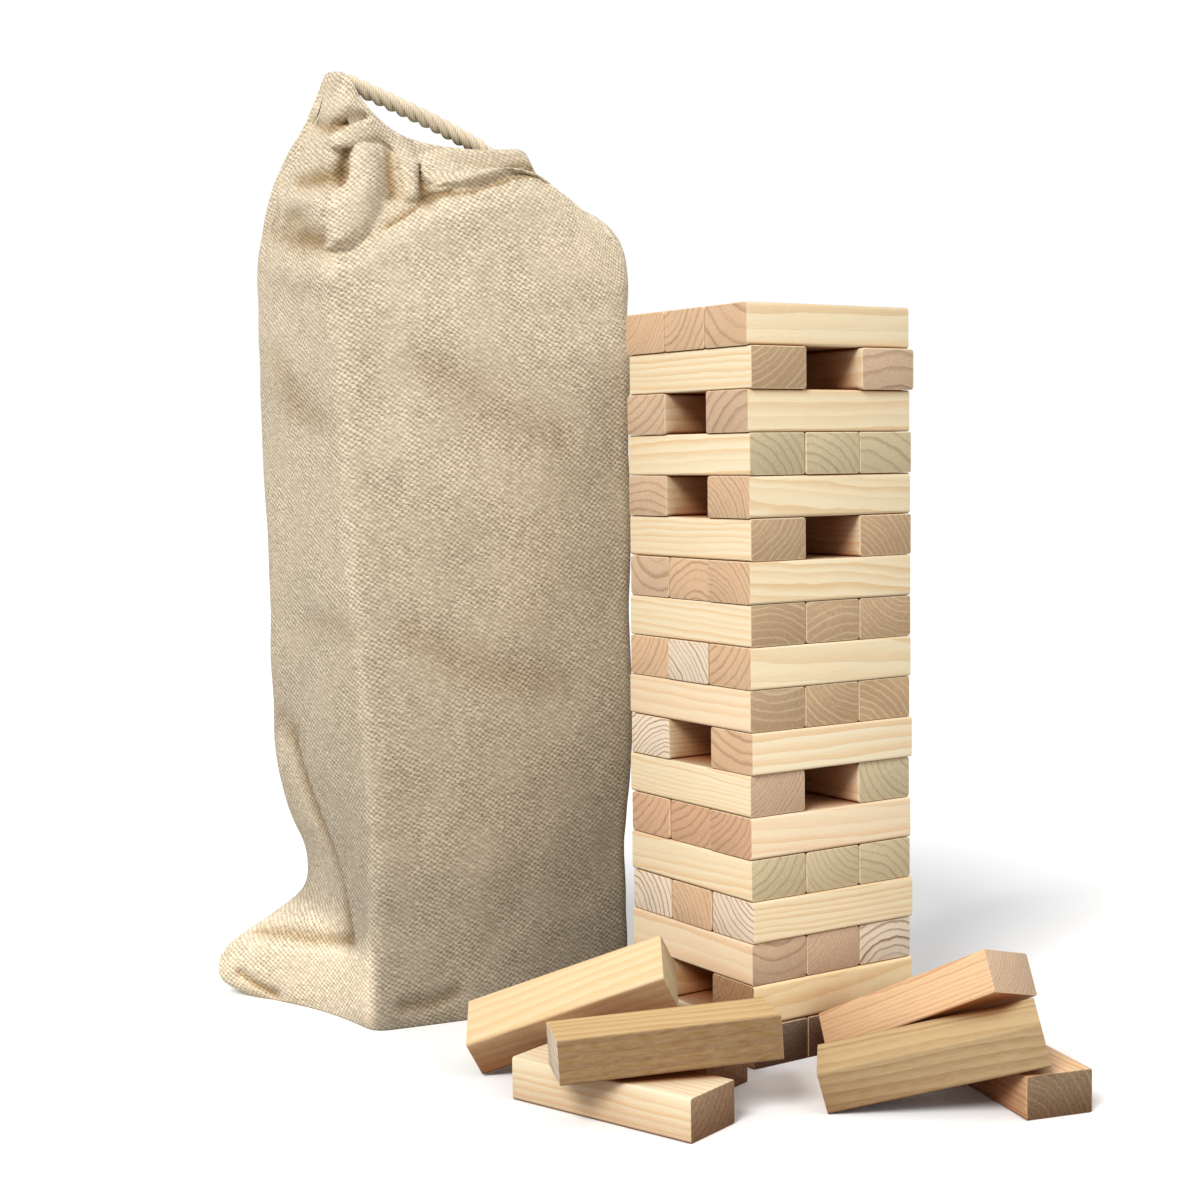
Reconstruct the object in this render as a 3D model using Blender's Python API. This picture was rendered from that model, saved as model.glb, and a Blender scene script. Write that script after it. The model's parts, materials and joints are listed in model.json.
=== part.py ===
"""Giant tumbling tower: eighteen crossed layers of pine blocks with seven drawn blocks lying
round the foot and a canvas drawstring bag standing behind. Metres, +Z up, floor at z = 0."""
import math

import bmesh
import bpy
from mathutils import Euler, Matrix, Vector

# Blocks
BLOCK_LENGTH = 0.190
BLOCK_WIDTH = 0.063
BLOCK_THICK = 0.038
EDGE_ROUND = 0.0026
END_EASE = 0.0007
ROUND_SEGMENTS = 3

# Stack
LAYERS = 18
LAYER_GAP = 0.0003
LAYER_PITCH = BLOCK_THICK + LAYER_GAP
SIDE_GAP = 0.0005
COLUMN_PITCH = BLOCK_WIDTH + SIDE_GAP
DRAWN_MIDDLES = (2, 7, 8, 13, 14, 16, 17)

# How far each layer stands off the stack's axis, bottom layer first (x, y), metres.
LAYER_OFFSETS = (
    (0.0000, 0.0000), (0.0006, -0.0006), (-0.0004, 0.0010), (0.0000, -0.0012), (-0.0005, 0.0008),
    (-0.0006, -0.0003), (-0.0007, 0.0014), (0.0003, -0.0016), (-0.0008, 0.0006), (-0.0002, -0.0005),
    (0.0003, 0.0003), (0.0004, -0.0010), (0.0014, 0.0008), (0.0003, 0.0005), (0.0008, 0.0000),
    (-0.0007, 0.0005), (0.0008, -0.0020), (-0.0009, 0.0012),
)
# Blocks that stick out of their layer: (layer, column) -> distance along the block.
STICK_OUT = {(17, 3): -0.0016, (15, 1): 0.0010, (12, 1): -0.0012, (8, 3): -0.0014, (6, 2): 0.0012,
             (4, 1): 0.0010, (10, 2): -0.0009, (2, 3): 0.0010}

# Drawn blocks: centre (m), then yaw, pitch and roll in degrees.
LOOSE = {
    "loose_block_a": ((-0.2308, -0.0037, 0.0622), (-41.6, -20.4, 24.8)),
    "loose_block_b": ((-0.2290, -0.1456, 0.0638), (-23.7, -3.0, -1.3)),
    "loose_block_c": ((-0.2546, -0.1179, 0.0190), (-71.6, 0.0, 0.0)),
    "loose_block_d": ((0.0118, -0.2043, 0.0678), (-73.9, -26.8, -15.5)),
    "loose_block_e": ((-0.0339, -0.2618, 0.0448), (-41.7, -14.3, 5.4)),
    "loose_block_f": ((0.0598, -0.2499, 0.0190), (-104.7, 0.0, 0.0)),
    "loose_block_g": ((-0.1798, -0.0380, 0.0190), (-70.9, 0.0, 0.0)),
}

# Bag: the frame's origin is its front left foot, u runs right along the front, v runs back.
BAG_CORNER = (-0.318, 0.212, 0.0)
BAG_YAW = -9.6
BAG_CENTRE = (0.125, 0.090)
BAG_WALL = 0.0025
SIDE_POINTS = 7
CORNER_POINTS = 3
RIM_SKEW = 0.7
RIDGE_SKEW = 1.4

# Each ring: corner (u, v, z) front left, front right, back right, back left; corner round;
# outward bulge of front, right, back, left; rise of the middle of front, right, back, left.
BAG_RINGS = (
    ((0.000, 0.000, 0.000), (0.268, 0.002, 0.000), (0.262, 0.172, 0.000), (-0.085, 0.192, 0.000),
     0.010, (0.002, 0.002, 0.003, -0.012), (0, 0, 0, 0)),
    ((-0.002, -0.003, 0.018), (0.271, 0.000, 0.018), (0.266, 0.176, 0.018), (-0.104, 0.205, 0.018),
     0.012, (0.003, 0.003, 0.004, -0.018), (0, 0, 0, 0)),
    ((-0.002, -0.004, 0.050), (0.272, -0.001, 0.050), (0.268, 0.178, 0.050), (-0.098, 0.205, 0.050),
     0.012, (0.004, 0.004, 0.005, -0.016), (0, 0, 0, 0)),
    ((0.000, -0.003, 0.082), (0.272, -0.001, 0.082), (0.268, 0.176, 0.082), (-0.062, 0.190, 0.082),
     0.012, (0.004, 0.004, 0.006, -0.006), (0, 0, 0, 0)),
    ((0.000, -0.002, 0.112), (0.272, 0.000, 0.112), (0.268, 0.174, 0.112), (-0.028, 0.175, 0.112),
     0.012, (0.004, 0.004, 0.007, 0.000), (0, 0, 0, 0)),
    ((0.001, -0.002, 0.150), (0.272, 0.000, 0.150), (0.268, 0.172, 0.150), (-0.026, 0.170, 0.150),
     0.012, (0.004, 0.005, 0.008, 0.001), (0, 0, 0, 0)),
    ((0.002, -0.002, 0.200), (0.277, 0.000, 0.200), (0.272, 0.173, 0.200), (-0.042, 0.172, 0.200),
     0.012, (0.004, 0.006, 0.009, 0.002), (0, 0, 0, 0)),
    ((0.000, -0.003, 0.270), (0.280, 0.000, 0.270), (0.274, 0.175, 0.270), (-0.055, 0.176, 0.270),
     0.012, (0.004, 0.007, 0.010, 0.003), (0, 0, 0, 0)),
    ((-0.010, -0.004, 0.400), (0.282, 0.000, 0.400), (0.276, 0.176, 0.400), (-0.059, 0.178, 0.400),
     0.013, (0.004, 0.008, 0.012, 0.003), (0, 0, 0, 0)),
    ((-0.019, -0.004, 0.520), (0.283, 0.000, 0.520), (0.277, 0.177, 0.520), (-0.057, 0.178, 0.520),
     0.013, (0.004, 0.008, 0.012, 0.003), (0, 0, 0, 0)),
    ((-0.025, -0.003, 0.630), (0.282, 0.000, 0.630), (0.276, 0.176, 0.630), (-0.060, 0.178, 0.630),
     0.013, (0.003, 0.007, 0.011, 0.004), (0.004, 0, 0, 0)),
    ((-0.030, -0.002, 0.700), (0.280, 0.001, 0.705), (0.274, 0.174, 0.705), (-0.062, 0.176, 0.705),
     0.013, (0.002, 0.006, 0.009, 0.004), (0.036, 0, 0.010, 0)),
    ((-0.031, 0.001, 0.742), (0.279, 0.004, 0.758), (0.270, 0.170, 0.758), (-0.062, 0.172, 0.762),
     0.013, (-0.001, 0.003, 0.005, 0.004), (0.076, 0.006, 0.026, 0.004)),
    ((-0.027, 0.022, 0.790), (0.262, 0.020, 0.790), (0.254, 0.150, 0.790), (-0.055, 0.158, 0.806),
     0.012, (-0.003, 0.002, 0.002, 0.004), (0.046, 0.010, 0.026, 0.002)),
    ((-0.014, 0.044, 0.850), (0.232, 0.040, 0.814), (0.226, 0.138, 0.814), (-0.040, 0.142, 0.850),
     0.011, (-0.004, 0.002, 0.001, 0.002), (0.006, 0.008, 0.004, 0.002)),
    ((-0.003, 0.058, 0.893), (0.208, 0.053, 0.836), (0.205, 0.128, 0.836), (-0.015, 0.128, 0.891),
     0.010, (-0.005, 0.001, 0.001, 0.001), (-0.018, 0.006, -0.018, 0.002)),
    ((0.003, 0.062, 0.931), (0.201, 0.059, 0.868), (0.200, 0.124, 0.866), (0.000, 0.119, 0.934),
     0.010, (-0.004, 0.001, 0.001, 0.001), (-0.042, 0.002, -0.040, 0.002)),
)

# Drawstring, in the bag's frame. Both ends leave the hem inside the left peak: one is laid across
# the mouth and tucked into the right of it, the other drops straight in. Each is stitched to the
# inside of the front wall.
ROPE_DIAMETER = 0.014
ROPE_ROUTES = {
    "bag_drawstring_upper": (
        (0.012, 0.080, 0.923), (0.060, 0.079, 0.905), (0.118, 0.079, 0.881), (0.160, 0.077, 0.856),
        (0.178, 0.071, 0.808), (0.180, 0.051, 0.748), (0.180, 0.012, 0.690),
    ),
    "bag_drawstring_lower": (
        (0.001, 0.097, 0.898), (0.034, 0.096, 0.874), (0.054, 0.090, 0.828), (0.060, 0.073, 0.775),
        (0.060, 0.045, 0.730), (0.060, 0.012, 0.704),
    ),
}
ROPE_BEVEL_RESOLUTION = 3
ROPE_STEPS_PER_SPAN = 2

# Surface colours
WOOD_TONES = {
    "pine_pale": (0.80, 0.62, 0.38),
    "pine_warm": (0.83, 0.60, 0.33),
    "pine_rose": (0.80, 0.56, 0.36),
    "pine_straw": (0.74, 0.59, 0.34),
}
WOOD_ROUGHNESS = 0.55
CANVAS_COLOUR = (0.56, 0.49, 0.35)
CANVAS_ROUGHNESS = 0.95
ROPE_COLOUR = (0.72, 0.62, 0.45)
ROPE_ROUGHNESS = 0.90


def clear_scene():
    for item in list(bpy.data.objects):
        bpy.data.objects.remove(item, do_unlink=True)


def principled(name, colour, roughness):
    material = bpy.data.materials.new(name)
    material.use_nodes = True
    shader = material.node_tree.nodes["Principled BSDF"]
    shader.inputs["Base Color"].default_value = (*colour, 1.0)
    shader.inputs["Roughness"].default_value = roughness
    shader.inputs["Metallic"].default_value = 0.0
    return material


def block_mesh(name, material):
    """A planed block, long edges rounded over and the end rims eased."""
    bm = bmesh.new()
    bmesh.ops.create_cube(bm, size=1.0)
    bmesh.ops.scale(bm, vec=(BLOCK_LENGTH, BLOCK_WIDTH, BLOCK_THICK), verts=bm.verts)
    half = BLOCK_LENGTH / 2
    long_edges = [e for e in bm.edges if abs(e.verts[0].co.x - e.verts[1].co.x) > half]
    bmesh.ops.bevel(bm, geom=long_edges, offset=EDGE_ROUND, segments=ROUND_SEGMENTS, profile=0.5,
                    affect="EDGES")
    rims = [e for e in bm.edges if all(abs(abs(v.co.x) - half) < END_EASE / 10 for v in e.verts)]
    bmesh.ops.bevel(bm, geom=rims, offset=END_EASE, segments=1, profile=0.5, affect="EDGES")
    bmesh.ops.recalc_face_normals(bm, faces=bm.faces)
    mesh = bpy.data.meshes.new(name)
    bm.to_mesh(mesh)
    bm.free()
    mesh.materials.append(material)
    return mesh


def add_object(name, data, collection, location=(0, 0, 0), angles=(0, 0, 0)):
    """Angles are yaw, pitch and roll in degrees, turned in that order."""
    item = bpy.data.objects.new(name, data)
    collection.objects.link(item)
    item.location = location
    yaw, pitch, roll = (math.radians(a) for a in angles)
    item.rotation_euler = Euler((roll, pitch, yaw), "XYZ")
    return item


def stack_blocks(collection, meshes):
    """Layer 1 lies along Y, layer 2 along X and so on up; the drawn middles are left out."""
    tones = list(meshes)
    for layer in range(1, LAYERS + 1):
        along_x = layer % 2 == 0
        shift_x, shift_y = LAYER_OFFSETS[layer - 1]
        height = (layer - 1) * LAYER_PITCH + BLOCK_THICK / 2
        for column in (1, 2, 3):
            if column == 2 and layer in DRAWN_MIDDLES:
                continue
            across = (column - 2) * COLUMN_PITCH
            out = STICK_OUT.get((layer, column), 0.0)
            place = (shift_x + (out if along_x else across), shift_y + (across if along_x else out))
            tone = tones[(layer * 5 + column * 3) % len(tones)]
            add_object(f"block_{layer:02d}_{column}", meshes[tone], collection,
                       (*place, height), (0 if along_x else 90, 0, 0))


def loose_blocks(collection, meshes):
    tones = list(meshes)
    for index, (name, (centre, angles)) in enumerate(LOOSE.items()):
        add_object(name, meshes[tones[index % len(tones)]], collection, centre, angles)


def skewed_rise(t, skew):
    return math.sin(math.pi * t ** skew)


def ring_points(ring):
    """One ring of the bag, counter-clockwise from the front left corner."""
    corners = [Vector(c) for c in ring[:4]]
    radius, bulges, rises = ring[4:]
    front_skew = RIDGE_SKEW if rises[0] > 0 else RIM_SKEW
    skews = (front_skew, 1.0, 1.0 / front_skew, 1.0)
    points = []
    for side in range(4):
        before, here, after = corners[side - 1], corners[side], corners[(side + 1) % 4]
        back = (before - here).normalized() * radius
        ahead = (after - here).normalized() * radius
        for step in range(CORNER_POINTS):
            s = step / (CORNER_POINTS - 1)
            points.append(here + back * (1 - s) ** 2 + ahead * s ** 2)
        start = here + ahead
        end = after + (here - after).normalized() * radius
        flat = Vector((after.x - here.x, after.y - here.y, 0)).normalized()
        outward = Vector((flat.y, -flat.x, 0))
        for step in range(1, SIDE_POINTS):
            t = step / SIDE_POINTS
            spot = start.lerp(end, t) + outward * bulges[side] * math.sin(math.pi * t)
            spot.z += rises[side] * skewed_rise(t, skews[side])
            points.append(spot)
    return points


def inset(points, distance):
    """The same ring moved inwards, measured square to its own line in plan."""
    moved = []
    count = len(points)
    for i, spot in enumerate(points):
        run = points[(i + 1) % count] - points[i - 1]
        inward = Vector((-run.y, run.x, 0)).normalized()
        moved.append(spot + inward * distance)
    return moved


def bag_shell(collection, material):
    """A standing sack with a gathered, half-open mouth: outer skin, rim, inner skin, two floors."""
    outer = [ring_points(ring) for ring in BAG_RINGS]
    inner = [inset(ring, BAG_WALL) for ring in outer]
    for spot in inner[0]:
        spot.z += BAG_WALL
    shift = Vector((BAG_CENTRE[0], BAG_CENTRE[1], 0))
    bm = bmesh.new()
    loops = []
    for ring in outer + inner[::-1]:
        loops.append([bm.verts.new(p - shift) for p in ring])
    count = len(loops[0])
    for low, high in zip(loops, loops[1:]):
        for i in range(count):
            j = (i + 1) % count
            bm.faces.new((low[i], low[j], high[j], high[i]))
    for loop in (loops[0], loops[-1]):
        bm.faces.new(loop)
    bmesh.ops.triangulate(bm, faces=bm.faces)
    bmesh.ops.recalc_face_normals(bm, faces=bm.faces)
    mesh = bpy.data.meshes.new("bag_shell")
    bm.to_mesh(mesh)
    bm.free()
    mesh.materials.append(material)
    mesh.shade_smooth()
    item = add_object("bag_shell", mesh, collection)
    item.matrix_world = bag_frame() @ Matrix.Translation(shift)
    return item


def bag_frame():
    return Matrix.Translation(BAG_CORNER) @ Matrix.Rotation(math.radians(BAG_YAW), 4, "Z")


def smooth_route(points, steps):
    """A Catmull-Rom curve through the points, read at so many steps between one and the next."""
    knots = [Vector(p) for p in points]
    knots = [2 * knots[0] - knots[1], *knots, 2 * knots[-1] - knots[-2]]
    route = []
    for p0, p1, p2, p3 in zip(knots, knots[1:], knots[2:], knots[3:]):
        for step in range(steps):
            t = step / steps
            route.append(p1 + (p2 - p0) * t / 2 + (2 * p0 - 5 * p1 + 4 * p2 - p3) * t ** 2 / 2
                         + (3 * p1 - p0 - 3 * p2 + p3) * t ** 3 / 2)
    return route + [knots[-2]]


def drawstring(collection, material, name):
    route = smooth_route(ROPE_ROUTES[name], ROPE_STEPS_PER_SPAN)
    curve = bpy.data.curves.new(name, "CURVE")
    curve.dimensions = "3D"
    curve.bevel_depth = ROPE_DIAMETER / 2
    curve.bevel_resolution = ROPE_BEVEL_RESOLUTION
    curve.use_fill_caps = True
    line = curve.splines.new("POLY")
    line.points.add(len(route) - 1)
    shift = Vector((BAG_CENTRE[0], BAG_CENTRE[1], 0))
    for point, spot in zip(line.points, route):
        point.co = (*(spot - shift), 1.0)
    curve.materials.append(material)
    item = add_object(name, curve, collection)
    item.matrix_world = bag_frame() @ Matrix.Translation(shift)
    return item


def build():
    clear_scene()
    collection = bpy.data.collections.new("giant_tumbling_tower")
    bpy.context.scene.collection.children.link(collection)
    meshes = {}
    for tone, colour in WOOD_TONES.items():
        meshes[tone] = block_mesh(f"block_{tone}", principled(tone, colour, WOOD_ROUGHNESS))
    stack_blocks(collection, meshes)
    loose_blocks(collection, meshes)
    bag_shell(collection, principled("canvas_natural", CANVAS_COLOUR, CANVAS_ROUGHNESS))
    rope = principled("rope_natural", ROPE_COLOUR, ROPE_ROUGHNESS)
    for name in ROPE_ROUTES:
        drawstring(collection, rope, name)


build()
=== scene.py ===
"""The looks of the giant tumbling tower: planed pine blocks, a coarse canvas drawstring bag and
its twisted cotton cord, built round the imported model. Metres, +Z up, floor at z = 0."""
import json
import math
import random

import bmesh
import bpy
import numpy as np
from mathutils import Matrix, Vector, noise


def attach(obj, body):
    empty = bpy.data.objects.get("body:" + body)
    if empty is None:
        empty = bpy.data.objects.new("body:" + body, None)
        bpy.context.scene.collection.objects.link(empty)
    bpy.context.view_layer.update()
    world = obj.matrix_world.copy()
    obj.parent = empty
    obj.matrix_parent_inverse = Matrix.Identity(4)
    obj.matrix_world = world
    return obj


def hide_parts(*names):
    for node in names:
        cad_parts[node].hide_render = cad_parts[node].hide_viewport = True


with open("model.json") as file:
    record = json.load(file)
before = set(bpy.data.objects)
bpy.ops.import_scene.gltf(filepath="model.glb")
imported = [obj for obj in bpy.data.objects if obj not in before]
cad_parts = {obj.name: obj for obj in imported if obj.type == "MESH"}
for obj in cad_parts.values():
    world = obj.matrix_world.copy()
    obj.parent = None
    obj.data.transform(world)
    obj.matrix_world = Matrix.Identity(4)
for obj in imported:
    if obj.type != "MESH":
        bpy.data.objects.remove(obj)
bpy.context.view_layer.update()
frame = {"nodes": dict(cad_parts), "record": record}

# Camera
CAMERA_PLACE = (-1.1616, -1.4749, 0.5543)
CAMERA_AZIMUTH = -33.312
CAMERA_DOWN = 4.166
CAMERA_ROLL = -0.725
LENS_MM = 58.95
SENSOR_MM = 36.0

# Bag: the frame's origin is its front left foot, u runs right along the front, v runs back.
BAG_CORNER = (-0.318, 0.212, 0.0)
BAG_YAW = -9.6

# Drawstring, in the bag's frame: one end lies across the mouth, the other drops into it.
ROPE_ROUTES = {
    "bag_drawstring_upper": (
        (0.012, 0.080, 0.923), (0.060, 0.079, 0.905), (0.118, 0.079, 0.881), (0.160, 0.077, 0.856),
        (0.178, 0.071, 0.808), (0.180, 0.051, 0.748), (0.180, 0.012, 0.690),
    ),
    "bag_drawstring_lower": (
        (0.001, 0.097, 0.898), (0.034, 0.096, 0.874), (0.054, 0.090, 0.828), (0.060, 0.073, 0.775),
        (0.060, 0.045, 0.730), (0.060, 0.012, 0.704),
    ),
}
ROPE_STEPS = 20
STRAND_COUNT = 3
STRAND_RADIUS = 0.0044
STRAND_ORBIT = 0.0043
STRAND_SIDES = 10
ROPE_LAY = 0.038

# Bag rings, from the floor up: corner (u, v, z) front left, front right, back right, back left;
# corner round; outward bulge of front, right, back, left; rise of the middle of the same sides.
# All in mm, in the bag's frame.
BAG_RINGS = (
    ((0, 0, 0), (268, 2, 0), (262, 172, 0), (-85, 192, 0),
     10, (2, 2, 3, -12), (0, 0, 0, 0)),
    ((-2, -3, 18), (271, 0, 18), (266, 176, 18), (-112, 208, 18),
     12, (3, 3, 4, -18), (0, 0, 0, 0)),
    ((-2, -4, 50), (272, -1, 50), (268, 178, 50), (-106, 208, 50),
     12, (4, 4, 5, -16), (0, 0, 0, 0)),
    ((0, -3, 82), (272, -1, 82), (268, 176, 82), (-62, 190, 82),
     12, (4, 4, 6, -6), (0, 0, 0, 0)),
    ((0, -2, 112), (272, 0, 112), (268, 174, 112), (-28, 175, 112),
     12, (4, 4, 7, 0), (0, 0, 0, 0)),
    ((1, -2, 150), (272, 0, 150), (268, 172, 150), (-26, 170, 150),
     12, (4, 5, 8, 1), (0, 0, 0, 0)),
    ((2, -2, 200), (277, 0, 200), (272, 173, 200), (-42, 172, 200),
     12, (4, 6, 9, 2), (0, 0, 0, 0)),
    ((0, -3, 270), (280, 0, 270), (274, 175, 270), (-55, 176, 270),
     12, (4, 7, 10, 3), (0, 0, 0, 0)),
    ((-10, -4, 400), (282, 0, 400), (276, 176, 400), (-59, 178, 400),
     13, (4, 8, 12, 3), (0, 0, 0, 0)),
    ((-19, -4, 520), (283, 0, 520), (277, 177, 520), (-57, 178, 520),
     13, (4, 8, 12, 3), (0, 0, 0, 0)),
    ((-25, -3, 630), (282, 0, 630), (276, 176, 630), (-60, 178, 630),
     13, (3, 7, 11, 4), (4, 0, 0, 0)),
    ((-30, -2, 700), (280, 1, 705), (274, 174, 705), (-62, 176, 705),
     13, (2, 6, 9, 4), (36, 0, 10, 0)),
    ((-31, 1, 742), (279, 4, 758), (270, 170, 758), (-62, 172, 762),
     13, (-1, 3, 5, 4), (76, 6, 26, 4)),
    ((-27, 22, 790), (262, 20, 790), (254, 150, 790), (-55, 158, 806),
     12, (-3, 2, 2, 4), (46, 10, 26, 2)),
    ((-14, 44, 850), (232, 40, 814), (226, 138, 814), (-40, 142, 850),
     11, (-4, 2, 1, 2), (6, 8, 4, 2)),
    ((-3, 58, 893), (208, 53, 836), (205, 128, 836), (-15, 128, 891),
     10, (-5, 1, 1, 1), (-18, 6, -18, 2)),
    ((3, 62, 927), (199, 59, 858), (198, 124, 857), (0, 119, 929),
     11, (-4, 1, 1, 1), (-34, 4, -33, 2)),
)
# The top of a side's rise lies nearer the side's start below 1, and nearer its end above 1.
RIM_SKEW = 0.65
RIDGE_SKEW = 1.4
SOFT_RING = 10  # the rings from here up are gathered, and take more rows
SIDE_STEPS = (120, 50, 60, 72)
CORNER_STEPS = 5
LOW_ROWS = 9  # rows between one ring and the next, below the gathered cloth,
HIGH_ROWS = 26  # and in it
FLOOR_ROWS = 5
FLOOR_SHARES = (0.25, 0.97)  # first and last floor row: shares of the way out to the wall
FLOOR_LIFT = 0.0015  # how much higher the floor's middle is
LOWEST = 0.0003  # no point of the cloth is lower
RELAX_PASSES = 4
RELAX_SHARE = 0.5
CANVAS_THICKNESS = 0.0014
HEM_ROLL = 0.0032
HEM_DEPTH = 0.034
HEM_TURNS = (45, 90, 135, 180)  # degrees over the rim
HEM_SHARES = (0.3, 0.6, 0.85, 1.0)  # of the depth, down the inside
HEM_WALL_ROWS = 18  # the hem leans as the wall does over this many rows

# Slack in the cloth
WAVE_HEIGHT = 0.0045
WAVE_RATE = 9.0
WAVE_OCTAVES = 3
WAVE_EVERY = (3, 4)  # rows and columns from one reading of the waves to the next
FLAT_FOOT = 0.05  # the waves die out below this height
PLEAT_HEIGHT = 0.0035
PLEAT_COUNT = 17
PLEAT_DRIFT = (1.3, 5)  # how far the pleats wander, and how many times round
PLEAT_RISE = (0.70, 0.16)  # they begin at this height and are full this much above it
PLEAT_BACK = (0.088, 0.04)  # and so with the distance back from the bag's front

# Painted light and shade on the cloth: (height, tone), darker towards the bottom and lighter at the
# top; then the spread foot, painted lighter as it faces up, the painted highlight down the front
# left corner and the painted shade at the low right of the front. In a pair, the first number says
# where a thing ends, and the second how far inside that it is in full.
HEIGHT_TONE = ((0.0, 0.66), (0.12, 0.71), (0.28, 0.86), (0.45, 1.02), (0.62, 1.11), (0.75, 1.17))
FOOT_TONE = 1.42
FOOT_RIGHT = (0.003, 0.012)
FOOT_TOP = (0.13, 0.06)
CORNER_HIGHLIGHT_WIDTH = 0.007  # half width
CORNER_HIGHLIGHT = 0.16
CORNER_TOP = (0.62, 0.25)
SHADE_LOW_RIGHT = 0.30
SHADE_LOW_RIGHT_START = (0.08, 0.14)
SHADE_LOW_RIGHT_TOP = (0.36, 0.34)
SHADE_LOW_RIGHT_END = 0.4

# Folds of the cloth: kind, height in mm and a line, drawn on an upright plane through the bag's
# middle as it is seen from the front left, in mm: (across, up, half width). A roll stands out
# towards the viewer as a tube, a swell as a soft rise, and a crease goes in, with painted shade
# in it. On the left of the run of a step, a lip or a turn the cloth lies deeper: a step's edge
# takes painted shade, a lip's little of it, and the cloth beside a turn takes painted light.
BAG_DISTANCE = 1.93
VIEW_ORIGIN = (0.2262, 0.4139)
FOLDS = (
    ("swell", 7, ((-50, 893, 8), (-34, 899, 10), (-16, 900, 10), (2, 892, 8))),
    ("roll", 9, ((-34, 864, 8), (-22, 868, 10), (-10, 874, 11), (8, 877, 11), (24, 869, 11),
                 (34, 856, 10), (39, 838, 9), (40, 812, 8))),
    ("roll", 16, ((-5, 850, 14), (-5, 838, 16), (-6, 822, 17), (-10, 810, 20), (-16, 798, 22),
                  (-21, 786, 21), (-26, 774, 18), (-32, 762, 12))),
    ("roll", 11, ((68, 838, 18), (100, 841, 20), (140, 846, 18), (164, 842, 12))),
    ("swell", 9, ((-84, 738, 16), (-70, 732, 18), (-48, 728, 14))),
    ("swell", 6, ((-80, 808, 10), (-62, 806, 10), (-42, 800, 9))),
    ("crease", 12, ((-48, 880, 6), (-40, 877, 8), (-25, 881, 6), (-8, 887, 4))),
    ("crease", 9, ((-24, 858, 5), (-26, 840, 7), (-24, 824, 6))),
    ("crease", 9, ((-28, 829, 11), (-48, 828, 12), (-66, 824, 9))),
    ("crease", 9, ((18, 854, 4), (19, 836, 7), (22, 812, 8))),
    ("crease", 4, ((34, 858, 3), (30, 850, 3), (29, 838, 2))),
    ("crease", 12, ((50, 840, 3), (51, 824, 5), (55, 808, 8))),
    ("crease", 8, ((56, 806, 6), (66, 810, 4), (80, 813, 3))),
    ("crease", 16, ((-84, 772, 15), (-68, 770, 17), (-50, 766, 14))),
    ("crease", 6, ((-84, 792, 9), (-70, 790, 9))),
    ("crease", 5, ((-100, 650, 20), (-75, 610, 22), (-50, 590, 16))),
    ("crease", 6, ((-62, 392, 7), (-35, 388, 8), (-14, 382, 6))),
    ("swell", 4, ((-95, 425, 14), (-60, 415, 16), (-30, 405, 12))),
    ("crease", 5, ((-88, 306, 6), (-72, 282, 8))),
    ("crease", 7, ((-110, 88, 4), (-80, 86, 8), (-50, 81, 9), (-20, 80, 7))),
    ("crease", 9, ((-128, 48, 3), (-110, 36, 4), (-92, 27, 5))),
    ("crease", 3, ((-4, 185, 4), (20, 180, 5))),
    ("crease", 5, ((35, 14, 8), (60, 18, 9), (85, 28, 8))),
    ("crease", 3, ((60, 640, 22), (120, 600, 26), (180, 575, 22))),
    ("swell", 3, ((20, 560, 24), (80, 520, 30), (150, 500, 26))),
    ("crease", 3, ((40, 380, 20), (110, 345, 26), (190, 330, 20))),
    ("lip", 11, ((-36, 752, 4), (-20, 754, 4), (-8, 761, 5), (4, 769, 5), (20, 780, 5))),
    ("step", 14, ((20, 780, 5), (40, 793, 5), (50, 800, 5), (60, 806, 5), (75, 810, 5),
                  (90, 811, 5), (110, 815, 5), (130, 822, 6), (150, 828, 7), (172, 828, 8))),
    ("turn", 9, ((-14, 78, 3), (-16, 92, 3), (-21, 122, 3), (-31, 162, 3), (-46, 202, 4),
                 (-60, 240, 4), (-72, 282, 5))),
)
FOLD_STEPS = 3
FACING_START = 0.14  # cloth seen more edge on than this isn't folded,
FACING_GAIN = 2.2  # and it is in full by 1 / gain above it
STEP_REACH = 0.055  # a step's cloth is back in line this far behind it
STEP_LIP = 0.020  # and the cloth in front of it rounds over from here
STEP_END = 0.016  # a step dies out this far past its ends
LIP_SHARE = 0.35  # how much of the step the rounding takes
STEP_SHADE = 0.007  # half width of the painted shade along a step
LIP_DARK = 0.15  # the share of it that a lip has
ROLL_ROOT = 0.018  # a roll grows out of a step over this length
ROLL_COVERS = 0.004  # a roll this high hides the creases under it
HOLLOW_NARROW = 1.4  # a crease's painted shade is narrower than the crease
HOLLOW_FULL = 9  # and in full where it is this deep, mm
# painted light on the cloth beside a turn
TURN_LIGHT = 0.40
FOLD_SHADE_COLOUR = (206, 188, 160)  # painted shade in the creases and along the steps

# Colours, sRGB 0 to 255
SIDES = {
    "cream": ((255, 240, 206), (243, 202, 150)),
    "straw": ((252, 234, 197), (232, 195, 143)),
    "peach": ((255, 234, 200), (244, 200, 154)),
    "amber": ((240, 198, 150), (210, 148, 102)),
    "gold": ((255, 228, 178), (240, 196, 134)),
    "honey": ((243, 211, 166), (230, 186, 128)),
    "tan": ((224, 190, 130), (196, 150, 90)),
    "buff": ((204, 173, 122), (166, 126, 76)),
}
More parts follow.
